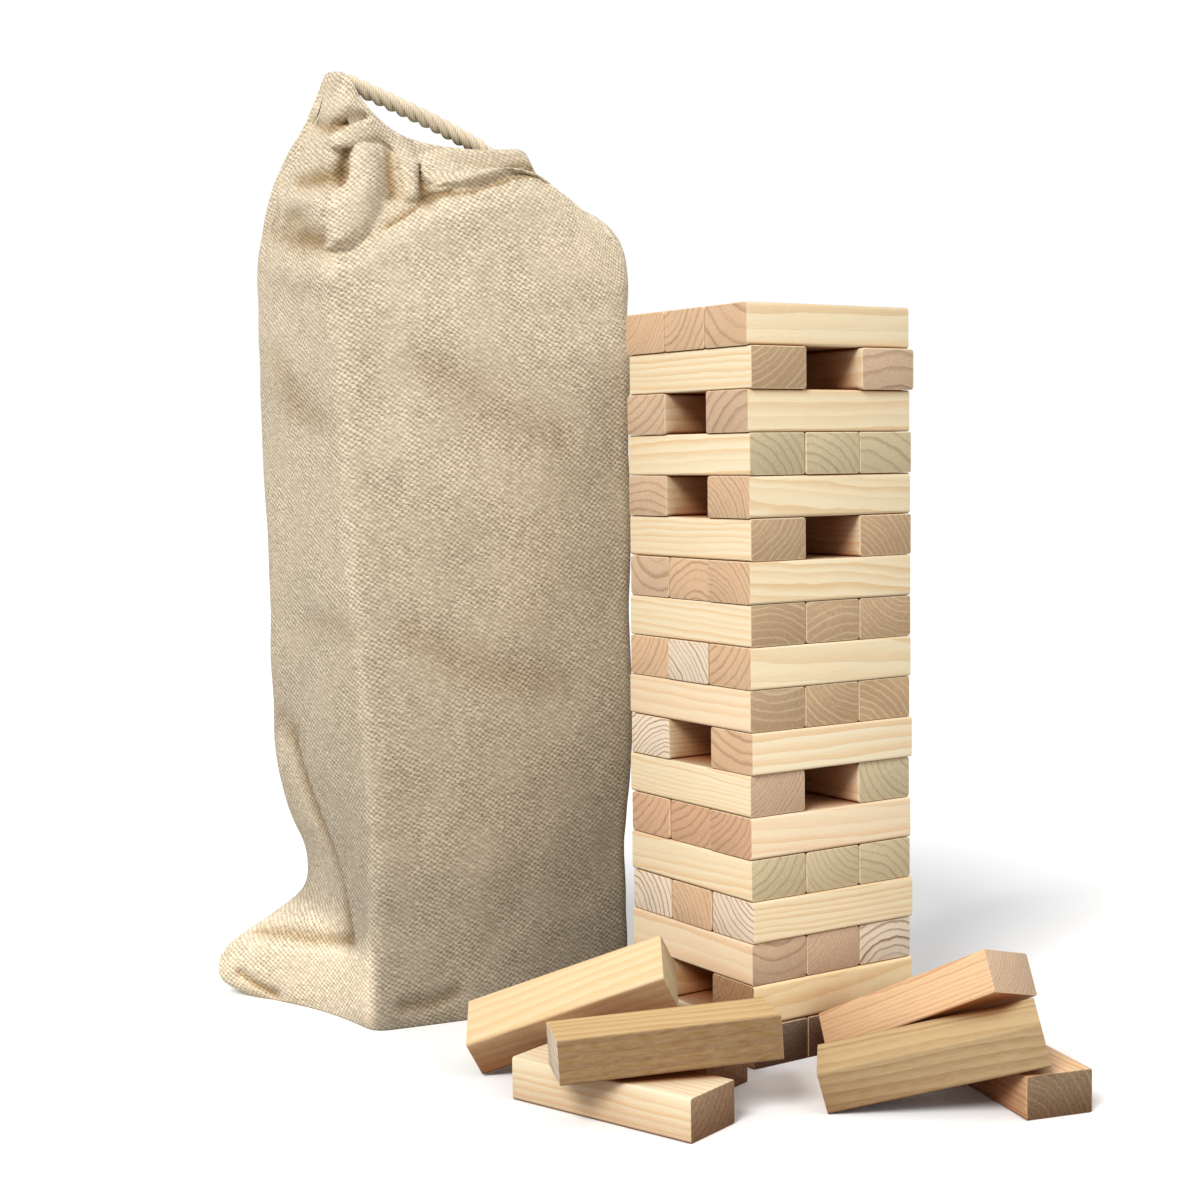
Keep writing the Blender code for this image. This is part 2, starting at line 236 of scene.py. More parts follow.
# The end grain: between the rings, the ring lines, and how strong the lines are.
ENDS = {
    "rose": ((222, 182, 144), (166, 122, 92), 0.75),
    "brick": ((212, 164, 128), (150, 104, 78), 0.75),
    "dusk": ((208, 174, 144), (150, 112, 88), 0.70),
    "grey": ((186, 150, 112), (218, 196, 162), 0.75),
    "sage": ((206, 190, 152), (156, 132, 98), 0.60),
    "pale": ((240, 222, 200), (140, 104, 80), 0.95),
    "toast": ((156, 106, 58), (112, 72, 38), 0.70),
    "umber": ((150, 109, 72), (104, 70, 44), 0.80),
    # painted shade: the dark ends of the bottom layer
    "in_shade": ((98, 66, 42), (64, 42, 26), 0.80),
    "smoke": ((108, 76, 42), (160, 128, 90), 0.55),
}
# Layer, column: side, end, the log's heart (right, up) from the end's middle as seen on the face
# that shows the end (mm), and the width of a ring (mm).
LOOKS = {
    18: {3: ("straw", "rose", (-70, 60), 4), 2: ("straw", "rose", (-40, 38), 8),
         1: ("straw", "rose", (45, 70), 15)},
    17: {1: ("cream", "grey", (-42, 56), 6.5), 3: ("cream", "dusk", (12, -120), 15)},
    16: {3: ("straw", "dusk", (-38, 62), 9), 1: ("straw", "dusk", (46, -62), 12)},
    15: {1: ("cream", "sage", (-50, -46), 9), 2: ("straw", "sage", (-36, -55), 8),
         3: ("straw", "sage", (-30, -74), 13)},
    14: {3: ("straw", "dusk", (0, -95), 9), 1: ("straw", "rose", (-52, -44), 5)},
    13: {1: ("cream", "grey", (-58, 54), 5.5), 3: ("cream", "grey", (-46, -40), 5.5)},
    12: {3: ("straw", "dusk", (14, 34), 13), 2: ("straw", "rose", (12, -42), 8),
         1: ("straw", "rose", (-36, -46), 5)},
    11: {1: ("cream", "grey", (-22, -84), 7), 2: ("cream", "grey", (16, -78), 7.5),
         3: ("cream", "grey", (42, 84), 4.6)},
    10: {3: ("straw", "rose", (-84, 66), 7), 2: ("straw", "pale", (-90, -84), 5.4),
         1: ("straw", "rose", (-58, 62), 9)},
    9: {1: ("peach", "grey", (4, 96), 9), 2: ("cream", "grey", (32, 52), 5),
        3: ("cream", "grey", (-36, -52), 7)},
    8: {3: ("straw", "pale", (30, -58), 4.6), 1: ("cream", "rose", (22, 96), 12)},
    7: {1: ("cream", "dusk", (-74, 62), 3.4), 3: ("cream", "sage", (44, 38), 8)},
    6: {3: ("peach", "brick", (-62, 72), 8), 2: ("peach", "brick", (-52, 82), 9),
        1: ("peach", "brick", (-46, 52), 7)},
    5: {1: ("cream", "sage", (-46, 46), 8.5), 2: ("cream", "sage", (46, 46), 6),
        3: ("cream", "sage", (-32, -48), 8)},
    4: {3: ("straw", "pale", (-48, -32), 7), 2: ("straw", "rose", (-52, -36), 6),
        1: ("straw", "pale", (42, 52), 6)},
    3: {1: ("peach", "dusk", (0, 48), 12), 2: ("peach", "dusk", (-62, 52), 3.2),
        3: ("cream", "pale", (6, -52), 8)},
    2: {3: ("gold", "toast", (-52, 42), 6), 1: ("gold", "toast", (-52, 34), 5)},
    # the bottom layer's ends take painted shade
    1: {1: ("straw", "in_shade", (0, 42), 6), 2: ("straw", "in_shade", (12, 42), 6),
        3: ("straw", "in_shade", (-32, -42), 7)},
}
LOOSE_LOOKS = {
    "loose_block_a": ("honey", "sage", (-60, 80), 9),
    "loose_block_b": ("tan", "pale", (-50, 74), 9),
    "loose_block_c": ("cream", "umber", (-52, 44), 7),
    "loose_block_d": ("amber", "dusk", (-70, 60), 3.2),
    "loose_block_e": ("buff", "sage", (-60, -80), 9),
    "loose_block_f": ("amber", "smoke", (-42, -32), 5),
    "loose_block_g": ("straw", "umber", (-46, 40), 6),
}
# How much painted shade darkens the loose blocks' front face, which is turned from the light.
FRONT_SHADE_SHARE = {"loose_block_a": 0.35, "loose_block_b": 1.0, "loose_block_e": 0.38}
FRONT_SHADE_COLOUR = (165, 138, 80)
# What may turn up on the blocks that the photo doesn't show: the end's look, the heart's distance
# right or left and up or down, and the width of a ring.
HIDDEN_ENDS = ("rose", "brick", "dusk", "sage")
HIDDEN_HEART = (70, (30, 70))
HIDDEN_RING = (5, 9)
DRAW_SEED = 41
GRAIN_LEAN = 0.035  # how far the log's heart may lean from the block's length
GRAIN_SHIFT = 5  # how far along the log a block may be cut, metres
BLOCK_ROUND = (0.0018, 0.0034)
BLOCK_END_EASE = 0.0009
ROUND_SEGMENTS = 4
EASE_SEGMENTS = 2
SHARP_ANGLE = 40
# Which way a block's length and width run: the nearer of the two ways along each is taken.
LENGTH_TOWARDS = (0.3, 0.9, 0.0)
WIDTH_TOWARDS = (0.9, 0.4, 0.1)
# Noise in the wood: so many to the metre along and across the grain, detail and roughness.
GRAIN_NOISE = {
    "sway": (7.0, 26.0, 3.0, 0.55),
    "fibre": (14.0, 620.0, 3.0, 0.6),
    "patch": (6.0, 16.0, 2.0, 0.5),
    "speck": (300.0, 1250.0, 3.0, 0.65),
    "coarse": (90.0, 420.0, 2.0, 0.6),
    "pores": (60.0, 1500.0, 1.0, 0.5),
}
RING_STRAY = 0.011  # how far the rings sway along the log
RING_UNEVEN = 0.009  # and how far their widths differ
RING_SHARE = (0.75, 0.35)  # the strength of a ring's line: the range, and the least
LATE_SIDE = (0.15, 0.92, 0.95, 1.0)  # where the late wood rises, is full, falls and ends,
LATE_END = (0.58, 0.88, 0.94, 1.0)  # as shares of a ring, on a side and on an end
SIDE_STRENGTH = 0.85
EDGE_HIGHLIGHT_COLOUR = (255, 240, 212)  # painted highlight along the rounded edges
EDGE_HIGHLIGHT_SHARE = 0.55
# Painted shade: the pine darkens where little open sky is near, in the slots, between the blocks
# and low over the floor.
SLOT_REACH = 0.09  # wood is shut in by what is nearer than this
SLOT_OPEN = (0.08, 0.72)  # the share of open sky from all deep to none
DEEP_SHADE_COLOUR = (172, 100, 24)  # painted shade deep in a slot

WEAVE_ACROSS = 0.0033  # one warp thread
WEAVE_UP = 0.0026  # one weft thread
WEAVE_LEAN = -0.06  # how far a thread slips sideways over each crossing
WEAVE_TURN = -9.0  # the cloth was cut a little off the thread
WEAVE_STRAY = (0.0045, 0.0035)  # how far the threads stray across and up
ROW_SHARE = 0.62  # how much of the relief is slanting rows,
GAP_SHARE = 0.38  # and how much the gaps between a row's ovals
CANVAS_LIGHT = (235, 220, 194)
CANVAS_DARK = (121, 104, 78)
ROPE_LIGHT = (255, 243, 218)
ROPE_DARK = (196, 170, 130)
PAINT_SHARE = 0.85  # colours are given as lit: the lights are this much too strong
WOOD_RELIEF = (0.00018, 0.9)  # the bump's height in metres, and its strength
ROPE_RELIEF = (0.0005, 0.8)
CANVAS_RELIEF = (0.0008, 0.7)

# Stage: the floor as it is seen and as it throws light back; each sun's name, direction,
# strength, spread in degrees and colour; the sky's strength on things, where it is seen as 1.
FLOOR_FAR = 40.0
FLOOR_COLOUR = (250, 250, 251)
FLOOR_BOUNCE = (178, 176, 172)
SUNS = (
    ("key", (0.80, 0.42, -0.80), 2.85, 24.0, (1.0, 0.98, 0.945)),
    ("fill", (-0.55, 1.0, -0.60), 0.80, 60.0, (0.97, 0.99, 1.0)),
)
SKY_STRENGTH = 0.56


def srgb(colour, share=1.0):
    """sRGB 0 to 255 to a linear colour with alpha."""
    parts = [c / 255 for c in colour]
    linear = [c / 12.92 if c <= 0.04045 else ((c + 0.055) / 1.055) ** 2.4 for c in parts]
    return (*[c * share for c in linear], 1.0)


def paint(colour):
    return srgb(colour, PAINT_SHARE)


def add_object(name, data):
    """A new object in the scene."""
    piece = bpy.data.objects.new(name, data)
    bpy.context.scene.collection.objects.link(piece)
    return piece


def mesh_from(bm, name):
    """The bmesh as a mesh; the bmesh is freed."""
    mesh = bpy.data.meshes.new(name)
    bm.to_mesh(mesh)
    bm.free()
    return mesh


def between(p0, p1, p2, p3, t):
    """Catmull-Rom from p1 to p2."""
    return (p1 + (p2 - p0) * t / 2 + (2 * p0 - 5 * p1 + 4 * p2 - p3) * t ** 2 / 2
            + (3 * p1 - p0 - 3 * p2 + p3) * t ** 3 / 2)


# ---- camera

def view_axes():
    """Right, up and forward of the camera: along +Y turned by the azimuth, tipped and rolled."""
    azimuth, down, roll = (math.radians(a) for a in (CAMERA_AZIMUTH, CAMERA_DOWN, CAMERA_ROLL))
    forward = Vector((-math.sin(azimuth) * math.cos(down), math.cos(azimuth) * math.cos(down),
                      -math.sin(down)))
    level = Vector((math.cos(azimuth), math.sin(azimuth), 0))
    upright = level.cross(forward)
    right = level * math.cos(roll) + upright * math.sin(roll)
    return right, right.cross(forward), forward


def add_camera():
    right, up, forward = view_axes()
    data = bpy.data.cameras.new("camera")
    data.lens = LENS_MM
    data.sensor_width = SENSOR_MM
    camera = add_object("camera", data)
    turn = Matrix((right, up, -forward)).transposed().to_4x4()
    camera.matrix_world = Matrix.Translation(CAMERA_PLACE) @ turn
    bpy.context.scene.camera = camera


# ---- nodes

class Nodes:
    """Short calls that add nodes to a tree and join them."""

    def __init__(self, tree):
        self.tree = tree

    def add(self, kind, inputs=None, **settings):
        node = self.tree.nodes.new(kind)
        for name, value in settings.items():
            setattr(node, name, value)
        for key, value in (inputs or {}).items():
            self.join(value, node.inputs[key])
        return node

    def join(self, value, socket):
        if isinstance(value, bpy.types.NodeSocket):
            self.tree.links.new(value, socket)
        elif value is not None:
            socket.default_value = value

    def attribute(self, name, output="Fac"):
        return self.add("ShaderNodeAttribute", attribute_name=name).outputs[output]

    def times(self, a, b, clamp=False):
        return self.math("MULTIPLY", a, b, clamp=clamp)

    def line(self, value, gain, start, clamp=False):
        """value * gain + start"""
        return self.math("MULTIPLY_ADD", value, gain, start, clamp)

    def math(self, operation, a, b=None, c=None, clamp=False):
        inputs = {i: v for i, v in enumerate((a, b, c)) if v is not None}
        return self.add("ShaderNodeMath", inputs, operation=operation, use_clamp=clamp).outputs[0]

    def vector(self, operation, a, b=None):
        inputs = {0: a} if b is None else {0: a, 1: b}
        node = self.add("ShaderNodeVectorMath", inputs, operation=operation)
        return node.outputs["Value" if operation == "LENGTH" else "Vector"]

    def noise(self, place, scale, detail=2.0, roughness=0.5):
        inputs = {"Vector": place, "Scale": scale, "Detail": detail, "Roughness": roughness}
        return self.add("ShaderNodeTexNoise", inputs).outputs["Fac"]

    def stretched(self, place, along, across, detail, roughness):
        """Noise drawn out along x: so many to the metre along and across."""
        scaled = self.vector("MULTIPLY", place, (along, across, across))
        return self.noise(scaled, 1.0, detail, roughness)

    def step(self, value, low, high):
        """A smooth step from 0 at low to 1 at high."""
        inputs = {"Value": value, "From Min": low, "From Max": high}
        return self.add("ShaderNodeMapRange", inputs, interpolation_type="SMOOTHSTEP").outputs[0]

    def band(self, value, rise, top, fall, end):
        """0, up to 1 between rise and top, back to 0 between fall and end."""
        down = self.math("SUBTRACT", 1.0, self.step(value, fall, end))
        return self.math("MULTIPLY", self.step(value, rise, top), down)

    def mix(self, share, a, b, blend="MIX"):
        node = self.add("ShaderNodeMix", data_type="RGBA", blend_type=blend)
        self.join(share, node.inputs["Factor"])
        self.join(a, node.inputs["A"])
        self.join(b, node.inputs["B"])
        return node.outputs["Result"]

    def vary(self, colour, share, reach):
        """The colour, darker to lighter by half the reach as the share goes from 0 to 1."""
        return self.scale(colour, self.line(share, reach, 1 - reach / 2))

    def scale(self, colour, gain):
        node = self.add("ShaderNodeVectorMath", {0: colour}, operation="SCALE")
        self.join(gain, node.inputs["Scale"])
        return node.outputs["Vector"]

    def surface(self, shader, colour, rough, height, relief, specular):
        """Joins up the material's shader."""
        inputs = {"Height": height, "Distance": relief[0], "Strength": relief[1]}
        bump = self.add("ShaderNodeBump", inputs)
        self.join(colour, shader.inputs["Base Color"])
        self.join(rough, shader.inputs["Roughness"])
        self.join(bump.outputs["Normal"], shader.inputs["Normal"])
        self.join(specular, shader.inputs["Specular IOR Level"])


def new_material(name):
    material = bpy.data.materials.new(name)
    material.use_nodes = True
    shader = material.node_tree.nodes["Principled BSDF"]
    return material, Nodes(material.node_tree), shader


# ---- wood

def pine_group():
    """Rings round the log's heart. The grain attribute is a place in the log: x along it."""
    tree = bpy.data.node_groups.new("pine", "ShaderNodeTree")
    for way, kind, names in (
            ("INPUT", "Color", ("Side Base", "Side Line", "End Base", "End Line")),
            ("INPUT", "Float", ("Ring Width", "End Strength", "Side Strength")),
            ("OUTPUT", "Color", ("Color",)), ("OUTPUT", "Float", ("Roughness", "Height"))):
        for name in names:
            tree.interface.new_socket(name, in_out=way, socket_type=f"NodeSocket{kind}")
    n = Nodes(tree)
    given = n.add("NodeGroupInput").outputs
    grain = n.attribute("grain", "Vector")
    end, edge, front_shade = (n.attribute(name) for name in ("end_face", "edge", "front_shade"))

    sway, fibre, patch, speck, coarse, pores = (
        n.stretched(grain, *kind) for kind in GRAIN_NOISE.values())
    radius = n.vector("LENGTH", n.vector("MULTIPLY", grain, (0.0, 1.0, 1.0)))
    radius = n.line(n.math("SUBTRACT", sway, 0.5), RING_STRAY, radius)
    uneven = n.noise(n.add("ShaderNodeCombineXYZ", {"X": radius}).outputs[0], 55.0, 1.0)
    radius = n.line(n.math("SUBTRACT", uneven, 0.5), RING_UNEVEN, radius)
    rings = n.math("DIVIDE", radius, given["Ring Width"])
    phase = n.math("FRACT", rings)
    which = n.add("ShaderNodeTexWhiteNoise", {"W": n.math("FLOOR", rings)},
                  noise_dimensions="1D").outputs["Value"]
    strength = n.line(which, *RING_SHARE)

    late_side = n.band(phase, *LATE_SIDE)
    share = n.times(n.times(late_side, strength), given["Side Strength"])
    side = n.mix(share, given["Side Base"], given["Side Line"])
    side = n.vary(side, fibre, 0.14)
    side = n.mix(n.times(n.math("SUBTRACT", patch, 0.42), 1.3, clamp=True), side,
                 n.mix(0.5, side, given["Side Line"]))
    side = n.scale(side, n.line(n.step(pores, 0.66, 0.74), -0.10, 1.0))

    late_end = n.band(phase, *LATE_END)
    share = n.times(n.times(late_end, strength), given["End Strength"])
    ends = n.mix(share, given["End Base"], given["End Line"])
    ends = n.vary(ends, speck, 0.30)
    ends = n.vary(ends, coarse, 0.22)
    ends = n.vary(ends, patch, 0.24)

    # painted shade on the front face of some loose blocks
    dark = n.mix(1.0, side, paint(FRONT_SHADE_COLOUR), "MULTIPLY")
    colour = n.mix(end, n.mix(front_shade, side, dark), ends)
    # painted highlight along the rounded edges, broken up by noise
    wear_and_highlight = n.times(edge, n.line(coarse, 0.8, 0.05), clamp=True)
    colour = n.mix(n.times(wear_and_highlight, EDGE_HIGHLIGHT_SHARE), colour, paint(EDGE_HIGHLIGHT_COLOUR))
    rough = n.line(end, 0.22, n.line(fibre, 0.12, 0.46))
    relief = n.line(fibre, 0.7, n.times(late_side, 0.45))
    relief_end = n.line(speck, 1.3, n.times(late_end, 0.5))
    height = n.add("ShaderNodeMix", data_type="FLOAT",
                   inputs={"Factor": end, "A": relief, "B": relief_end}).outputs["Result"]
    # painted shade where little open sky is near
    sky = n.add("ShaderNodeAmbientOcclusion", {"Distance": SLOT_REACH}, samples=4).outputs["AO"]
    colour = n.mix(n.math("SUBTRACT", 1.0, n.step(sky, *SLOT_OPEN)), colour,
                   n.mix(1.0, colour, paint(DEEP_SHADE_COLOUR), "MULTIPLY"))
    n.add("NodeGroupOutput", {"Color": colour, "Roughness": rough, "Height": height})
    return tree


def pine(name, side, end, ring_mm, group):
    base, line = (paint(c) for c in SIDES[side])
    end_base, end_line, strength = ENDS[end]
    material, n, shader = new_material(name)
    wood = n.add("ShaderNodeGroup", node_tree=group, inputs={
        "Side Base": base, "Side Line": line, "End Base": paint(end_base),
        "End Line": paint(end_line), "Ring Width": ring_mm / 1000, "End Strength": strength,
        "Side Strength": SIDE_STRENGTH}).outputs
    n.surface(shader, wood["Color"], wood["Roughness"], wood["Height"], WOOD_RELIEF, 0.12)
    return material


def block_axes(node):
    """The middle of a CAD block, its size, and its axes: along, across and through it."""
    mesh = frame["nodes"][node].data
    points = np.array([v.co for v in mesh.vertices], float)
    middle = (points.min(0) + points.max(0)) / 2
    _, axes = np.linalg.eigh(np.cov((points - points.mean(0)).T))
    axes = axes.T[::-1]
    turned = (points - middle) @ axes.T
    middle = middle + (turned.max(0) + turned.min(0)) / 2 @ axes
    size = np.ptp(turned, axis=0)
    for axis, towards in zip(axes, (LENGTH_TOWARDS, WIDTH_TOWARDS, (0.0, 0.0, 1.0))):
        if axis @ np.array(towards) < 0:
            axis *= -1
    return middle, size, axes


def plank(name, size, rounding):
    """A planed block about the origin: long edges rounded over, end rims eased."""
    bm = bmesh.new()
    bmesh.ops.create_cube(bm, size=1.0)
    bmesh.ops.scale(bm, vec=size, verts=bm.verts)
    half = size[0] / 2
    long_edges = [e for e in bm.edges if abs(e.verts[0].co.x - e.verts[1].co.x) > half]
    bmesh.ops.bevel(bm, geom=long_edges, offset=rounding, segments=ROUND_SEGMENTS, profile=0.5,
                    affect="EDGES")
    rims = [e for e in bm.edges if all(abs(abs(v.co.x) - half) < 1e-5 for v in e.verts)]
    bmesh.ops.bevel(bm, geom=rims, offset=BLOCK_END_EASE, segments=EASE_SEGMENTS, profile=0.5,
                    affect="EDGES")
    bmesh.ops.recalc_face_normals(bm, faces=bm.faces)
    return mesh_from(bm, name)


def paint_grain(mesh, size, rounding, heart, lean, shift, dark):
    """Each vertex's place in the log, how much of an end face it is, how near an edge, and how
    much painted shade it takes: that is all on the one long side."""
    for name, kind in (("grain", "FLOAT_VECTOR"), ("end_face", "FLOAT"), ("edge", "FLOAT"),
                       ("front_shade", "FLOAT")):
        mesh.attributes.new(name, kind, "POINT")
    grain, end_face, edge, front_shade = (
        mesh.attributes[name] for name in ("grain", "end_face", "edge", "front_shade"))
    for i, vertex in enumerate(mesh.vertices):
        x, y, z = vertex.co
        grain.data[i].vector = (x + shift, y - heart[0] + x * lean[0], z - heart[1] + x * lean[1])
        near = [h / 2 - abs(c) for h, c in zip(size, (x, y, z))]
        end_face.data[i].value = 1.0 if near[0] < BLOCK_END_EASE * 0.1 else 0.0
        corner = sorted(near)[1]
        edge.data[i].value = max(0.0, 1.0 - corner / rounding)
        front_shade.data[i].value = dark * max(0.0, 1.0 - (y + size[1] / 2) / rounding)


def add_block(node, look, mirrored, group, bodies, draw):
    """A finer block in place of a CAD one, in the same place."""
    side, end, heart, ring_mm = look
    middle, size, axes = block_axes(node)
    rounding = draw.uniform(*BLOCK_ROUND)
    mesh = plank(f"pine_{node}", size, rounding)
    heart = (heart[0] / 1000 * (-1 if mirrored else 1), heart[1] / 1000)
    lean = [draw.uniform(-GRAIN_LEAN, GRAIN_LEAN) for _ in range(2)]
    shift = draw.uniform(-GRAIN_SHIFT, GRAIN_SHIFT)
    paint_grain(mesh, size, rounding, heart, lean, shift, FRONT_SHADE_SHARE.get(node, 0.0))
    turn = Matrix([list(a) for a in axes]).transposed().to_4x4()
    mesh.transform(Matrix.Translation(middle) @ turn)
    if turn.determinant() < 0:
        mesh.flip_normals()
    mesh.materials.append(pine(f"pine_{node}", side, end, ring_mm, group))
    mesh.shade_smooth()
    mesh.set_sharp_from_angle(angle=math.radians(SHARP_ANGLE))
    piece = add_object(f"pine_{node}", mesh)
    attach(piece, bodies[node])
    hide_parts(node)


def add_blocks():
    draw = random.Random(DRAW_SEED)
    group = pine_group()
    bodies = {node: body for body, nodes in frame["record"]["behaviour"]["bodies"].items()
              for node in nodes}
    aside, (low, high) = HIDDEN_HEART
    for node in sorted(frame["nodes"]):
        if node in LOOSE_LOOKS:
            add_block(node, LOOSE_LOOKS[node], False, group, bodies, draw)
        elif node.startswith("block_"):
            layer, column = (int(part) for part in node.split("_")[1:])
            heart = (draw.uniform(-aside, aside), draw.choice((-1, 1)) * draw.uniform(low, high))
            spare = ("straw", draw.choice(HIDDEN_ENDS), heart, draw.uniform(*HIDDEN_RING))
            look = LOOKS.get(layer, {}).get(column, spare)
            add_block(node, look, layer % 2 == 0, group, bodies, draw)


# ---- drawstring

def bag_matrix():
    return Matrix.Translation(BAG_CORNER) @ Matrix.Rotation(math.radians(BAG_YAW), 4, "Z")


def smooth_route(points, steps):
    """A Catmull-Rom curve through the points, read at so many steps between one and the next."""
    knots = [Vector(p) for p in points]
    knots = [2 * knots[0] - knots[1], *knots, 2 * knots[-1] - knots[-2]]
    route = []
    for four in zip(knots, knots[1:], knots[2:], knots[3:]):
        route += [between(*four, step / steps) for step in range(steps)]
    return route + [knots[-2]]


def carried_frames(route):
    """A direction and two sides at each point of a route, without twist."""
    side = None
    for i, here in enumerate(route):
        ahead = (route[min(i + 1, len(route) - 1)] - route[max(i - 1, 0)]).normalized()
        side = ahead.orthogonal() if side is None else side - ahead * side.dot(ahead)
        side.normalize()
        yield here, side, ahead.cross(side)


def strand(bm, uv, route, start):
    """One strand wound round the route; its UV runs round it and along it, in metres."""
    rings = []
    travelled = 0.0
    before = route[0]
    for here, side, other in carried_frames(route):
        travelled += (here - before).length
        before = here
        turn = start + travelled / ROPE_LAY * math.tau
        out = side * math.cos(turn) + other * math.sin(turn)
        along = out.cross(side.cross(other))
        middle = here + out * STRAND_ORBIT
        ring = []
        for k in range(STRAND_SIDES):
            angle = k / STRAND_SIDES * math.tau
            spot = middle + (out * math.cos(angle) + along * math.sin(angle)) * STRAND_RADIUS
            ring.append(bm.verts.new(spot))
        rings.append((ring, travelled))
    for (low, low_at), (high, high_at) in zip(rings, rings[1:]):
        for k in range(STRAND_SIDES):
            j = (k + 1) % STRAND_SIDES
            face = bm.faces.new((low[k], low[j], high[j], high[k]))
            spots = ((k, low_at), (k + 1, low_at), (k + 1, high_at), (k, high_at))
            for loop, (round_at, at) in zip(face.loops, spots):
                loop[uv].uv = (round_at / STRAND_SIDES, at)
    bm.faces.new(rings[0][0][::-1])
    bm.faces.new(rings[-1][0])


def rope_material():
    """Twisted cotton: fine yarns wound along each strand."""
    material, n, shader = new_material("cotton_cord")
    uv = n.add("ShaderNodeUVMap", uv_map="lay").outputs["UV"]
    parts = n.add("ShaderNodeSeparateXYZ", {"Vector": uv}).outputs
    wound = n.line(parts["Y"], 240.0, n.times(parts["X"], 5.0))
    yarn = n.math("ABSOLUTE", n.math("SINE", n.times(wound, math.pi)))
    place = n.add("ShaderNodeTexCoord").outputs["Object"]
    fuzz = n.noise(place, 900.0, 3.0, 0.7)
    patch = n.noise(place, 70.0, 2.0)
    # the colour follows the relief: painted shade darkens the grooves between the yarns, and the
    # fuzz is the fibre's own
    level = n.line(fuzz, 0.5, n.times(yarn, 0.6), clamp=True)
    colour = n.mix(level, paint(ROPE_DARK), paint(ROPE_LIGHT))
    colour = n.vary(colour, patch, 0.3)
    height = n.line(fuzz, 0.6, yarn)
    rough = n.line(fuzz, 0.15, 0.82)
    n.surface(shader, colour, rough, height, ROPE_RELIEF, 0.15)
    shader.inputs["Sheen Weight"].default_value = 0.25
    return material


def add_ropes():
    material = rope_material()
    to_row = bag_matrix()
    for name, points in ROPE_ROUTES.items():
        route = [to_row @ p for p in smooth_route(points, ROPE_STEPS)]
        bm = bmesh.new()
        uv = bm.loops.layers.uv.new("lay")
        for k in range(STRAND_COUNT):
            strand(bm, uv, route, k / STRAND_COUNT * math.tau)
        bmesh.ops.recalc_face_normals(bm, faces=bm.faces)
        mesh = mesh_from(bm, f"cord_{name}")
        mesh.materials.append(material)
        mesh.shade_smooth()
        piece = add_object(f"cord_{name}", mesh)
        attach(piece, "bag")
        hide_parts(name)
        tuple(route[0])


# ---- bag

def fine_ring(ring):
    """One ring as an array of points, counter-clockwise from the front left corner."""
    corners = [np.array(c) / 1000 for c in ring[:4]]
    radius, bulges, rises = (np.array(part) / 1000 for part in ring[4:])
    front_skew = RIDGE_SKEW if rises[0] > 0 else RIM_SKEW
    skews = (front_skew, 1.0, 1.0 / front_skew, 1.0)
    points = []
    for side in range(4):
        before, here, after = corners[side - 1], corners[side], corners[(side + 1) % 4]
        back = (before - here) / np.linalg.norm(before - here) * radius
        ahead = (after - here) / np.linalg.norm(after - here) * radius
        for s in np.linspace(0, 1, CORNER_STEPS):
            points.append(here + back * (1 - s) ** 2 + ahead * s ** 2)
        start, end = here + ahead, after - ahead
        flat = np.array([after[0] - here[0], after[1] - here[1], 0.0])
        flat /= np.linalg.norm(flat)
        outward = np.array([flat[1], -flat[0], 0.0])
        for t in np.linspace(0, 1, SIDE_STEPS[side] + 1)[1:-1]:
            spot = start + (end - start) * t + outward * bulges[side] * math.sin(math.pi * t)
            spot[2] += rises[side] * math.sin(math.pi * t ** skews[side])
            points.append(spot)
    return np.array(points)


def wall_rows():
    """The bag's wall from the floor to the rim, row by row."""
    rings = [fine_ring(r) for r in BAG_RINGS]
    ghosts = [2 * rings[0] - rings[1], *rings, 2 * rings[-1] - rings[-2]]
    rows = []
    for i in range(len(rings) - 1):
        count = LOW_ROWS if i < SOFT_RING else HIGH_ROWS
        rows += [between(*ghosts[i:i + 4], step / count) for step in range(count)]
    return np.array(rows + [rings[-1]])


def normals(rows):
    """Outward normals of a grid that closes on itself sideways."""
    around = np.roll(rows, -1, axis=1) - np.roll(rows, 1, axis=1)
    up = np.gradient(rows, axis=0)
    out = np.cross(around, up)
    return out / np.maximum(np.linalg.norm(out, axis=2, keepdims=True), 1e-9)


def relax(rows, passes, share):
    """Smooths the grid a little; the first and last rows stay."""
    for _ in range(passes):
        middle = (np.roll(rows, 1, axis=1) + np.roll(rows, -1, axis=1)) / 2
        middle[1:-1] = (middle[1:-1] + (rows[:-2] + rows[2:]) / 2) / 2
        rows = rows * (1 - share) + middle * share
    return rows


def beside(across, up, line):
    """For each point: how far it is from the line, on which side, the line's half width there,
    and how far it is past the line's ends."""
    away, side, width, past = (np.full(across.shape, v) for v in (np.inf, 0.0, 1.0, 0.0))
    last = len(line) - 2
    for i, ((a0, u0, w0), (a1, u1, w1)) in enumerate(zip(line, line[1:])):
        da, du = a1 - a0, u1 - u0
        run = math.hypot(da, du)
        t = ((across - a0) * da + (up - u0) * du) / run ** 2
        k = np.clip(t, 0, 1)
        here = np.hypot(across - a0 - k * da, up - u0 - k * du)
        before_start = np.clip(-t, 0, None) if i == 0 else 0
        after_end = np.clip(t - 1, 0, None) if i == last else 0
        nearer = here < away
        away = np.where(nearer, here, away)
        side = np.where(nearer, np.sign(da * (up - u0) - du * (across - a0)), side)
        width = np.where(nearer, w0 + (w1 - w0) * k, width)
        past = np.where(nearer, (before_start + after_end) * run, past)
    return away, side, width, past


def smooth_step(x):
    x = np.clip(x, 0, 1)
    return x * x * (3 - 2 * x)


